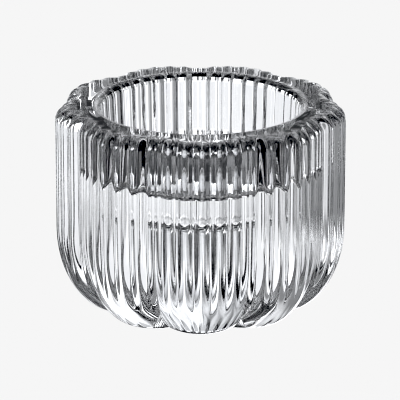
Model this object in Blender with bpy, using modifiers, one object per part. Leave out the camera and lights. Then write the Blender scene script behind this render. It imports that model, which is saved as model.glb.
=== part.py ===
"""Pressed-glass candle holder: one moulding, lobed and ribbed outside, with a
round candle well on top and a hollow underneath.

Metres, +Z up. The origin is on the holder's axis, in the plane of its foot.
"""

import math

import bmesh
import bpy

# ---------------------------------------------------------------- dimensions
HEIGHT = 0.0503  # foot to top ring
R_OUT = 0.0350  # axis to the rib crest at a lobe's centre

LOBES = 9
RIBS_PER_LOBE = 6  # five on each lobe and one in each valley
LOBE_DIP_WALL = 0.00292  # how far a valley lies inside the lobe's crest
LOBE_DIP_FOOT = 0.00352
LOBE_POWER = 1.81  # 2 is a parabola across each lobe
RIB_DEPTH = 0.00093  # groove to crest
RIB_CREST = 0.825  # share of a rib's width that is crest, the rest is groove
RIB_ROUND = 1.71  # 2 is a parabola across the crest, more is flatter
# With an odd number of lobes a lobe faces a valley. Half a rib of turn keeps
# the box round the holder centred on its axis.
LOBE_TURN = math.pi / (LOBES * RIBS_PER_LOBE)

R_SHOULDER = 0.00340  # rounding from the top ring to the wall
RIB_START = (-0.14, 0.60)  # share of the shoulder's turn over which the ribs rise
FOOT_IN = 0.01308  # how far the foot lies inside the wall
FOOT_RISE = 0.02135  # height at which the wall starts to curve in
RIB_END = (0.0068, 0.0194)  # heights between which the ribs run out

R_MOUTH = 0.02394  # candle well
R_MOUTH_EDGE = 0.00212  # rounding of the mouth
WELL_DEPTH = 0.01645
WELL_DRAFT = 0.00073  # the wall leans in by this much at the floor
R_WELL_CORNER = 0.00290

HOLLOW_TOP = 0.02470  # hollow underneath
HOLLOW_DOME = 0.00028  # rise of the roof's middle
R_HOLLOW_TOP = 0.00942
R_HOLLOW_MOUTH = 0.01238
R_HOLLOW_CORNER = 0.00220
R_HOLLOW_EDGE = 0.0008

STEPS_PER_RIB = 4
STEPS = LOBES * RIBS_PER_LOBE * STEPS_PER_RIB


# ------------------------------------------------------------------- shape
def smooth_step(low, high, value):
    t = min(max((value - low) / (high - low), 0.0), 1.0)
    return t * t * (3.0 - 2.0 * t)


def lobe_dip(angle):
    """0 at a lobe's centre, 1 in the valley between two lobes."""
    turn = 2.0 * math.pi / LOBES
    across = (angle / turn + 0.5) % 1.0 - 0.5
    return abs(2.0 * across) ** LOBE_POWER


def rib_dip(angle):
    """0 on a rib's crest, 1 in the groove: a round crest that runs into a
    tighter round groove at one slope."""
    turn = 2.0 * math.pi / (LOBES * RIBS_PER_LOBE)
    across = abs(2.0 * ((angle / turn + 0.5) % 1.0 - 0.5))
    groove = 1.0 - RIB_CREST
    slope = 1.0 / (RIB_CREST / RIB_ROUND + groove / 2.0)
    if across < RIB_CREST:
        return slope * RIB_CREST / RIB_ROUND * (across / RIB_CREST) ** RIB_ROUND
    return 1.0 - slope * (1.0 - across) ** 2 / (2.0 * groove)


def arc(centre_r, centre_z, radius, start, end, count):
    """Points on an arc in the section plane, angles in degrees from +R."""
    for i in range(count):
        a = math.radians(start + (end - start) * i / (count - 1))
        yield centre_r + radius * math.cos(a), centre_z + radius * math.sin(a)


def section():
    """(radius, height, lobe depth, rib depth, rib direction) from the centre
    of the well's floor, up the well, over the top ring, down the outside,
    across the foot and up the hollow to its centre. Lobes are cut straight in
    towards the axis. Ribs are cut square to the surface, and their direction
    is an angle in the section plane."""
    floor = HEIGHT - WELL_DEPTH
    r_floor = R_MOUTH - WELL_DRAFT
    points = [(0.0, floor, 0.0, 0.0, 0.0)]
    # corner of the well's floor
    for r, z in arc(
        r_floor - R_WELL_CORNER, floor + R_WELL_CORNER, R_WELL_CORNER, -90, 0, 5
    ):
        points.append((r, z, 0.0, 0.0, 0.0))
    # rounded mouth
    for r, z in arc(
        R_MOUTH + R_MOUTH_EDGE, HEIGHT - R_MOUTH_EDGE, R_MOUTH_EDGE, 180, 90, 4
    ):
        points.append((r, z, 0.0, 0.0, 0.0))
    # shoulder, on which the ribs start
    count = 5
    for i, (r, z) in enumerate(
        arc(R_OUT - R_SHOULDER, HEIGHT - R_SHOULDER, R_SHOULDER, 90, 0, count)
    ):
        part = i / (count - 1)
        rib = RIB_DEPTH * smooth_step(*RIB_START, part)
        points.append((r, z, LOBE_DIP_WALL, rib, 0.5 * math.pi * (1.0 - part)))
    # wall, then the curve in to the foot
    count = 8
    for i in range(count):
        a = 0.5 * math.pi * i / (count - 1)
        r = R_OUT - FOOT_IN * (1.0 - math.cos(a))
        z = FOOT_RISE * (1.0 - math.sin(a))
        dip = LOBE_DIP_WALL + (LOBE_DIP_FOOT - LOBE_DIP_WALL) * math.sin(a)
        square = -math.atan2(math.sin(a) / FOOT_RISE, math.cos(a) / FOOT_IN)
        points.append((r, z, dip, RIB_DEPTH * smooth_step(*RIB_END, z), square))
    # inner edge of the foot
    for r, z in arc(
        R_HOLLOW_MOUTH + R_HOLLOW_EDGE, R_HOLLOW_EDGE, R_HOLLOW_EDGE, 270, 180, 2
    ):
        points.append((r, z, 0.0, 0.0, 0.0))
    # roof of the hollow
    for r, z in arc(
        R_HOLLOW_TOP - R_HOLLOW_CORNER,
        HOLLOW_TOP - R_HOLLOW_CORNER,
        R_HOLLOW_CORNER,
        0,
        90,
        3,
    ):
        points.append((r, z, 0.0, 0.0, 0.0))
    points.append((0.0, HOLLOW_TOP + HOLLOW_DOME, 0.0, 0.0, 0.0))
    return points


def turned_mesh(points):
    """The section turned once round the axis, still without lobes or ribs."""
    outline = bpy.data.meshes.new("section")
    outline.from_pydata(
        [(p[0], 0.0, p[1]) for p in points],
        [(i, i + 1) for i in range(len(points) - 1)],
        [],
    )
    guide = bpy.data.objects.new("section", outline)
    bpy.context.scene.collection.objects.link(guide)
    screw = guide.modifiers.new("turn", "SCREW")
    screw.axis = "Z"
    screw.angle = 2.0 * math.pi
    screw.steps = STEPS
    screw.render_steps = STEPS
    screw.use_merge_vertices = True
    screw.merge_threshold = 1e-5
    bpy.context.view_layer.update()
    graph = bpy.context.evaluated_depsgraph_get()
    mesh = bpy.data.meshes.new_from_object(guide.evaluated_get(graph))
    bpy.data.objects.remove(guide)
    return mesh


def press(mesh, points):
    """Pulls the turned surface in to form the lobes and the ribs."""
    for vertex in mesh.vertices:
        x, y, z = vertex.co
        r = math.hypot(x, y)
        if r < 1e-6:
            continue
        _, _, lobe, rib, square = min(
            points, key=lambda p: (p[0] - r) ** 2 + (p[1] - z) ** 2
        )
        if lobe == 0.0:
            continue
        angle = math.atan2(x, -y) - LOBE_TURN
        cut = rib * rib_dip(angle)
        pulled = r - lobe * lobe_dip(angle) - cut * math.cos(square)
        vertex.co.x = x * pulled / r
        vertex.co.y = y * pulled / r
        vertex.co.z = z - cut * math.sin(square)


def clear_glass():
    material = bpy.data.materials.new("clear_glass")
    material.use_nodes = True
    shader = material.node_tree.nodes["Principled BSDF"]
    shader.inputs["Base Color"].default_value = (0.96, 0.97, 0.97, 1.0)
    shader.inputs["Roughness"].default_value = 0.02
    shader.inputs["Metallic"].default_value = 0.0
    shader.inputs["IOR"].default_value = 1.52
    shader.inputs["Transmission Weight"].default_value = 1.0
    return material


def main():
    for obj in list(bpy.data.objects):
        bpy.data.objects.remove(obj)
    parts = bpy.data.collections.new("glass_candle_holder")
    bpy.context.scene.collection.children.link(parts)

    points = section()
    mesh = turned_mesh(points)
    press(mesh, points)

    # the section runs down the outside, so the faces already point out
    tidy = bmesh.new()
    tidy.from_mesh(mesh)
    bmesh.ops.recalc_face_normals(tidy, faces=tidy.faces)
    tidy.to_mesh(mesh)
    tidy.free()

    mesh.name = "glass_body"
    mesh.materials.clear()
    mesh.materials.append(clear_glass())
    mesh.shade_smooth()
    mesh.set_sharp_from_angle(angle=math.radians(40.0))
    body = bpy.data.objects.new("glass_body", mesh)
    parts.objects.link(body)


main()
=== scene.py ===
"""Looks of the pressed-glass candle holder: the finely turned glass, a pale
floor, soft boxes round it and the camera.

Metres, +Z up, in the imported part's own frame.
"""

import math

import bpy
import numpy as np
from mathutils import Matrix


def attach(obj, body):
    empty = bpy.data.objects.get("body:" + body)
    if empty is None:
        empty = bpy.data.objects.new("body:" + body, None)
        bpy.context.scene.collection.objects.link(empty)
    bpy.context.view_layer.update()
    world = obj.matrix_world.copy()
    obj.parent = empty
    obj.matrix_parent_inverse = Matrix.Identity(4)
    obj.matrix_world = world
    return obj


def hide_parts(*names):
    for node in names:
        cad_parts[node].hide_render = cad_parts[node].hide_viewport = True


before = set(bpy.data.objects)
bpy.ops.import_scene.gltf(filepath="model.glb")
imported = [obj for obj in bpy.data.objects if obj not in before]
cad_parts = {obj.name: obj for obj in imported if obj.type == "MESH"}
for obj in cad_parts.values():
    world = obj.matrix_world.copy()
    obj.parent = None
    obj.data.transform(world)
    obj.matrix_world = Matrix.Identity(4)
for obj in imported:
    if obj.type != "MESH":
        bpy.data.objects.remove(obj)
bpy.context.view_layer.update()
scene = bpy.context.scene

# ---------------------------------------------------------------- dimensions
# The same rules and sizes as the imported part, cut finer.
HEIGHT = 0.0503
R_OUT = 0.0350
LOBES = 9
RIBS_PER_LOBE = 6
LOBE_DIP_WALL = 0.002916
LOBE_DIP_FOOT = 0.00352
LOBE_POWER = 1.81
RIB_DEPTH = 0.000928
RIB_CREST = 0.825
RIB_ROUND = 1.71
LOBE_TURN = math.pi / (LOBES * RIBS_PER_LOBE)
R_SHOULDER = 0.0034
RIB_START = (-0.14, 0.60)
FOOT_IN = 0.01308
FOOT_RISE = 0.021355
RIB_END = (0.0068, 0.0194)
R_MOUTH = 0.02394
R_MOUTH_EDGE = 0.002124
WELL_DEPTH = 0.01645
WELL_DRAFT = 0.000725
R_WELL_CORNER = 0.0029
HOLLOW_TOP = 0.0247
HOLLOW_DOME = 0.00028
R_HOLLOW_TOP = 0.00942
R_HOLLOW_MOUTH = 0.01238
R_HOLLOW_CORNER = 0.0022
R_HOLLOW_EDGE = 0.0008

STEPS_PER_RIB = 16
STEPS = LOBES * RIBS_PER_LOBE * STEPS_PER_RIB


# ------------------------------------------------------------------- shape
def smooth_step(low, high, value):
    t = np.clip((value - low) / (high - low), 0.0, 1.0)
    return t * t * (3.0 - 2.0 * t)


def lobe_dip(angle):
    """0 at a lobe's centre, 1 in the valley between two lobes."""
    turn = 2.0 * math.pi / LOBES
    across = (angle / turn + 0.5) % 1.0 - 0.5
    return np.abs(2.0 * across) ** LOBE_POWER


def rib_dip(angle):
    """0 on a rib's crest, 1 in the groove: a round crest that runs into a
    tighter round groove at one slope."""
    turn = 2.0 * math.pi / (LOBES * RIBS_PER_LOBE)
    across = np.abs(2.0 * ((angle / turn + 0.5) % 1.0 - 0.5))
    width = 1.0 - RIB_CREST
    slope = 1.0 / (RIB_CREST / RIB_ROUND + width / 2.0)
    crest = slope * RIB_CREST / RIB_ROUND * (across / RIB_CREST) ** RIB_ROUND
    groove = 1.0 - slope * (1.0 - across) ** 2 / (2.0 * width)
    return np.where(across < RIB_CREST, crest, groove)


def arc(centre_r, centre_z, radius, start, end, count):
    for a in np.radians(np.linspace(start, end, count)):
        yield centre_r + radius * math.cos(a), centre_z + radius * math.sin(a)


def section():
    """(radius, height, lobe depth, rib depth, rib direction) from the centre
    of the well's floor, up the well, over the top ring, down the outside,
    across the foot and up the hollow to its centre. Lobes are cut straight in
    towards the axis. Ribs are cut square to the surface, and their direction
    is an angle in the section plane."""
    rows = []
    floor = HEIGHT - WELL_DEPTH
    r_floor = R_MOUTH - WELL_DRAFT
    top = HEIGHT - R_MOUTH_EDGE
    # rows near the ends of a flat stretch keep the rounding off it
    for t in (0.0, 0.25, 0.6, 0.9, 0.98):
        rows.append(((r_floor - R_WELL_CORNER) * t, floor, 0.0, 0.0, 0.0))
    for r, z in arc(
        r_floor - R_WELL_CORNER, floor + R_WELL_CORNER, R_WELL_CORNER, -90, 0, 9
    ):
        rows.append((r, z, 0.0, 0.0, 0.0))
    for t in (0.02, 0.1, 0.5, 0.9, 0.98):
        low = floor + R_WELL_CORNER
        rows.append((r_floor + WELL_DRAFT * t, low + (top - low) * t, 0.0, 0.0, 0.0))
    for r, z in arc(R_MOUTH + R_MOUTH_EDGE, top, R_MOUTH_EDGE, 180, 90, 9):
        rows.append((r, z, 0.0, 0.0, 0.0))
    # top ring, on which the lobes set in
    inner, outer = R_MOUTH + R_MOUTH_EDGE, R_OUT - R_SHOULDER
    for t in np.linspace(0.0, 1.0, 6)[1:-1]:
        rows.append((inner + (outer - inner) * t, HEIGHT, LOBE_DIP_WALL * t, 0.0, 0.0))
    # shoulder, on which the ribs set in
    for i, (r, z) in enumerate(
        arc(R_OUT - R_SHOULDER, HEIGHT - R_SHOULDER, R_SHOULDER, 90, 0, 19)
    ):
        rib = RIB_DEPTH * smooth_step(*RIB_START, i / 18)
        rows.append((r, z, LOBE_DIP_WALL, rib, 0.5 * math.pi * (1.0 - i / 18)))
    for t in (0.02, 0.1, 0.5, 0.9, 1.0):
        z = HEIGHT - R_SHOULDER + (FOOT_RISE - HEIGHT + R_SHOULDER) * t
        rows.append((R_OUT, z, LOBE_DIP_WALL, RIB_DEPTH, 0.0))
    # curve in to the foot, on which the ribs run out
    for a in np.linspace(0.0, 0.5 * math.pi, 32)[1:]:
        r = R_OUT - FOOT_IN * (1.0 - math.cos(a))
        z = FOOT_RISE * (1.0 - math.sin(a))
        dip = LOBE_DIP_WALL + (LOBE_DIP_FOOT - LOBE_DIP_WALL) * math.sin(a)
        square = -math.atan2(math.sin(a) / FOOT_RISE, math.cos(a) / FOOT_IN)
        rows.append((r, z, dip, RIB_DEPTH * smooth_step(*RIB_END, z), square))
    # flat foot and the hollow's edge
    outer, inner = R_OUT - FOOT_IN, R_HOLLOW_MOUTH + R_HOLLOW_EDGE
    for t in np.linspace(0.0, 1.0, 4)[1:-1]:
        rows.append((outer + (inner - outer) * t, 0.0, LOBE_DIP_FOOT * (1.0 - t), 0.0, 0.0))
    for r, z in arc(inner, R_HOLLOW_EDGE, R_HOLLOW_EDGE, 270, 180, 6):
        rows.append((r, z, 0.0, 0.0, 0.0))
    low, high = R_HOLLOW_EDGE, HOLLOW_TOP - R_HOLLOW_CORNER
    for t in (0.02, 0.1, 0.5, 0.9, 0.98):
        r = R_HOLLOW_MOUTH + (R_HOLLOW_TOP - R_HOLLOW_MOUTH) * t
        rows.append((r, low + (high - low) * t, 0.0, 0.0, 0.0))
    flat = R_HOLLOW_TOP - R_HOLLOW_CORNER
    for r, z in arc(flat, high, R_HOLLOW_CORNER, 0, 90, 11):
        rows.append((r, z, 0.0, 0.0, 0.0))
    for r in np.linspace(flat, 0.0, 6)[1:]:
        rows.append((r, HOLLOW_TOP + HOLLOW_DOME * (1.0 - (r / flat) ** 2), 0.0, 0.0, 0.0))
    return np.array(rows)


def glass_mesh():
    rows = section()
    angle = np.arange(STEPS) * 2.0 * math.pi / STEPS
    lobe, rib = lobe_dip(angle - LOBE_TURN), rib_dip(angle - LOBE_TURN)
    r, z, lobe_depth, rib_depth, square = rows[1:-1].T[:, :, None]
    radius = r - lobe_depth * lobe - rib_depth * rib * np.cos(square)
    height = z - rib_depth * rib * np.sin(square)
    points = np.stack(
        [radius * np.sin(angle), -radius * np.cos(angle), height], axis=2
    ).reshape(-1, 3)
    ends = [(0.0, 0.0, rows[0, 1]), (0.0, 0.0, rows[-1, 1])]
    points = np.concatenate([points, ends])
    here = np.arange(STEPS)
    after = (here + 1) % STEPS
    count = len(rows) - 2
    faces = []
    for k in range(count - 1):
        a, b = k * STEPS, (k + 1) * STEPS
        faces += np.stack([a + here, b + here, b + after, a + after], 1).tolist()
    floor, roof, last = len(points) - 2, len(points) - 1, (count - 1) * STEPS
    faces += [(floor, int(i), int(j)) for i, j in zip(here, after)]
    faces += [(roof, int(last + j), int(last + i)) for i, j in zip(here, after)]
    mesh = bpy.data.meshes.new("pressed_glass")
    mesh.from_pydata(points.tolist(), [], faces)
    mesh.update()
    mesh.shade_smooth()
    return mesh


# ------------------------------------------------------------------ materials
def node(tree, kind, **values):
    made = tree.nodes.new(kind)
    for name, value in values.items():
        setattr(made, name, value)
    return made


def clear_glass():
    """Fire-polished pressed glass: clear, faintly wavy from the mould, with a
    trace of haze where it is handled."""
    material = bpy.data.materials.new("clear_pressed_glass")
    material.use_nodes = True
    tree = material.node_tree
    shader = tree.nodes["Principled BSDF"]
    shader.inputs["Base Color"].default_value = (0.985, 0.992, 1.0, 1.0)
    shader.inputs["Metallic"].default_value = 0.0
    shader.inputs["IOR"].default_value = 1.520
    shader.inputs["Transmission Weight"].default_value = 1.0
    place = node(tree, "ShaderNodeTexCoord")
    haze = node(tree, "ShaderNodeTexNoise")
    haze.inputs["Scale"].default_value = 90.0
    haze.inputs["Detail"].default_value = 4.0
    share = node(tree, "ShaderNodeMapRange")
    share.inputs["From Min"].default_value = 0.45
    share.inputs["From Max"].default_value = 0.80
    share.inputs["To Min"].default_value = 0.0
    share.inputs["To Max"].default_value = 0.003
    tree.links.new(place.outputs["Object"], haze.inputs["Vector"])
    tree.links.new(haze.outputs["Fac"], share.inputs["Value"])
    tree.links.new(share.outputs["Result"], shader.inputs["Roughness"])
    wave = node(tree, "ShaderNodeTexNoise")
    wave.inputs["Scale"].default_value = 160.0
    wave.inputs["Detail"].default_value = 1.0
    bump = node(tree, "ShaderNodeBump")
    bump.inputs["Strength"].default_value = 0.01
    bump.inputs["Distance"].default_value = 0.001
    tree.links.new(place.outputs["Object"], wave.inputs["Vector"])
    tree.links.new(wave.outputs["Fac"], bump.inputs["Height"])
    tree.links.new(bump.outputs["Normal"], shader.inputs["Normal"])
    return material


def pale_floor():
    material = bpy.data.materials.new("pale_floor")
    material.use_nodes = True
    tree = material.node_tree
    tree.nodes.clear()
    out = node(tree, "ShaderNodeOutputMaterial")
    glow = node(tree, "ShaderNodeEmission")
    glow.inputs["Color"].default_value = PALE
    tree.links.new(glow.outputs["Emission"], out.inputs["Surface"])
    return material


PALE = (0.922, 0.922, 0.922, 1.0)

# --------------------------------------------------------------------- pieces
body = bpy.data.objects.new("pressed_glass", glass_mesh())
scene.collection.objects.link(body)
body.data.materials.append(clear_glass())
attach(body, "root")
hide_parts("glass_body")

sheet = bpy.data.meshes.new("floor")
turns = np.arange(64) * 2.0 * math.pi / 64
rim = np.stack([6.0 * np.cos(turns), 6.0 * np.sin(turns), 0.0 * turns - 0.0002], 1)
sheet.from_pydata(rim.tolist(), [], [tuple(range(64))])
sheet.materials.append(pale_floor())
floor = bpy.data.objects.new("floor", sheet)
scene.collection.objects.link(floor)
# the glass takes its light from the soft boxes alone
floor.visible_transmission = False
floor.visible_glossy = False
floor.visible_diffuse = False
floor.visible_shadow = False

# ---------------------------------------------------------------------- light
# Soft boxes on a dark studio, in degrees as seen from the holder: azimuth from
# straight behind it, growing to the camera's right, elevation, half width,
# half height, softness of the edge, and strength.
CAMERA_TURN = LOBE_TURN - math.radians(0.61)
DARK = 0.0000
TINT = (0.989, 1.0, 1.024, 1.0)
SOFT_BOXES = [
    (17, -5, 30, 19, 4, 0.98),
    (0, -81, 185, 15, 4, 0.16),
    (-105, 21, 23, 16, 2, 1.18),
    (-105, 13, 22, 12, 2, 0.96),
    (-50, 31, 57, 3, 2, 1.40),
    (180, -38, 40, 18, 6, 0.30),
    (165, -14, 23, 10, 2, 0.95),
    (150, -12, 8, 12, 2, 2.03),
    (-151, -77, 6, 16, 2, 1.90),
    (16, -33, 17, 4, 2, 2.31),
    (5, 25, 30, 6, 4, 0.78),
    (-23, -7, 15, 30, 2, 0.29),
    (36, 17, 15, 12, 2, 0.56),
    (-32, -2, 27, 8, 2, 0.48),
    (16, -27, 17, 5, 2, 0.95),
    (90, -12, 25, 8, 6, 0.20),
    (-90, -12, 25, 8, 6, 0.20),
    (16, 11, 5, 8, 2, 0.75),
    (16, 20, 5, 8, 2, 0.60),
    (-13, -30, 6, 7, 2, 0.53),
    (-12, -20, 9, 3, 2, 0.29),
]


def math_node(tree, operation, *values):
    made = node(tree, "ShaderNodeMath", operation=operation)
    for socket, value in zip(made.inputs, values):
        if isinstance(value, (int, float)):
            socket.default_value = value
        else:
            tree.links.new(value, socket)
    return made.outputs["Value"]


def inside(tree, distance, half, edge):
    made = node(tree, "ShaderNodeMapRange", interpolation_type="SMOOTHSTEP")
    tree.links.new(distance, made.inputs["Value"])
    made.inputs["From Min"].default_value = half - edge
    made.inputs["From Max"].default_value = half + edge
    made.inputs["To Min"].default_value = 1.0
    made.inputs["To Max"].default_value = 0.0
    return made.outputs["Result"]


def studio():
    world = bpy.data.worlds.new("studio")
    scene.world = world
    world.use_nodes = True
    tree = world.node_tree
    tree.nodes.clear()
    place = node(tree, "ShaderNodeTexCoord")
    split = node(tree, "ShaderNodeSeparateXYZ")
    tree.links.new(place.outputs["Generated"], split.inputs["Vector"])
    x, y, z = split.outputs
    azimuth = math_node(tree, "DEGREES", math_node(tree, "ARCTAN2", x, y))
    azimuth = math_node(tree, "ADD", azimuth, math.degrees(CAMERA_TURN))
    elevation = math_node(tree, "DEGREES", math_node(tree, "ARCSINE", z))
    total = math_node(tree, "ADD", DARK, 0.0)
    for az, el, half_width, half_height, edge, strength in SOFT_BOXES:
        aside = math_node(tree, "SUBTRACT", azimuth, float(az))
        aside = math_node(tree, "ABSOLUTE", math_node(tree, "WRAP", aside, 180.0, -180.0))
        above = math_node(tree, "ABSOLUTE", math_node(tree, "SUBTRACT", elevation, float(el)))
        lit = math_node(
            tree,
            "MULTIPLY",
            inside(tree, aside, half_width, edge),
            inside(tree, above, half_height, edge),
        )
        total = math_node(tree, "MULTIPLY_ADD", lit, strength, total)
    boxes = node(tree, "ShaderNodeBackground")
    boxes.inputs["Color"].default_value = TINT
    tree.links.new(total, boxes.inputs["Strength"])
    # past the floor's edge the camera sees the same pale tone
    pale = node(tree, "ShaderNodeBackground")
    pale.inputs["Color"].default_value = PALE
    path = node(tree, "ShaderNodeLightPath")
    mix = node(tree, "ShaderNodeMixShader")
    out = node(tree, "ShaderNodeOutputWorld")
    tree.links.new(path.outputs["Is Camera Ray"], mix.inputs["Fac"])
    tree.links.new(boxes.outputs["Background"], mix.inputs[1])
    tree.links.new(pale.outputs["Background"], mix.inputs[2])
    tree.links.new(mix.outputs["Shader"], out.inputs["Surface"])


studio()

# --------------------------------------------------------------------- camera
PIXELS = 400.0
DISTANCE = 0.8789  # to the centre of the foot
FOCAL = 4.1180 * 1000.0 * DISTANCE  # in pixels
ELEVATION = math.radians(19.97)
FOOT_X, FOOT_Y = 200.32, 300.57  # where the centre of the foot falls in the picture

lens = bpy.data.cameras.new("camera")
lens.sensor_width = 36.0
lens.lens = FOCAL * lens.sensor_width / PIXELS
lens.clip_start = 0.01
lens.clip_end = 50.0
camera = bpy.data.objects.new("camera", lens)
level = DISTANCE * math.cos(ELEVATION)
camera.location = (
    level * math.sin(CAMERA_TURN),
    -level * math.cos(CAMERA_TURN),
    DISTANCE * math.sin(ELEVATION),
)
down = ELEVATION - math.atan((FOOT_Y - PIXELS / 2.0) / FOCAL)
aside = math.atan((FOOT_X - PIXELS / 2.0) / FOCAL)
camera.rotation_euler = (math.pi / 2.0 - down, 0.0, aside + CAMERA_TURN)
scene.collection.objects.link(camera)
scene.camera = camera

scene.view_settings.view_transform = "Standard"
scene.view_settings.look = "None"
# deep, slightly cool blacks
scene.view_settings.use_curve_mapping = True
scene.view_settings.curve_mapping.black_level = (0.0158, 0.0150, 0.0130)
scene.cycles.max_bounces = 32
scene.cycles.transmission_bounces = 32
scene.cycles.glossy_bounces = 32
scene.cycles.sample_clamp_indirect = 0.0
scene.cycles.blur_glossy = 0.0
scene.cycles.filter_width = 1.05
scene.cycles.denoising_input_passes = "RGB"
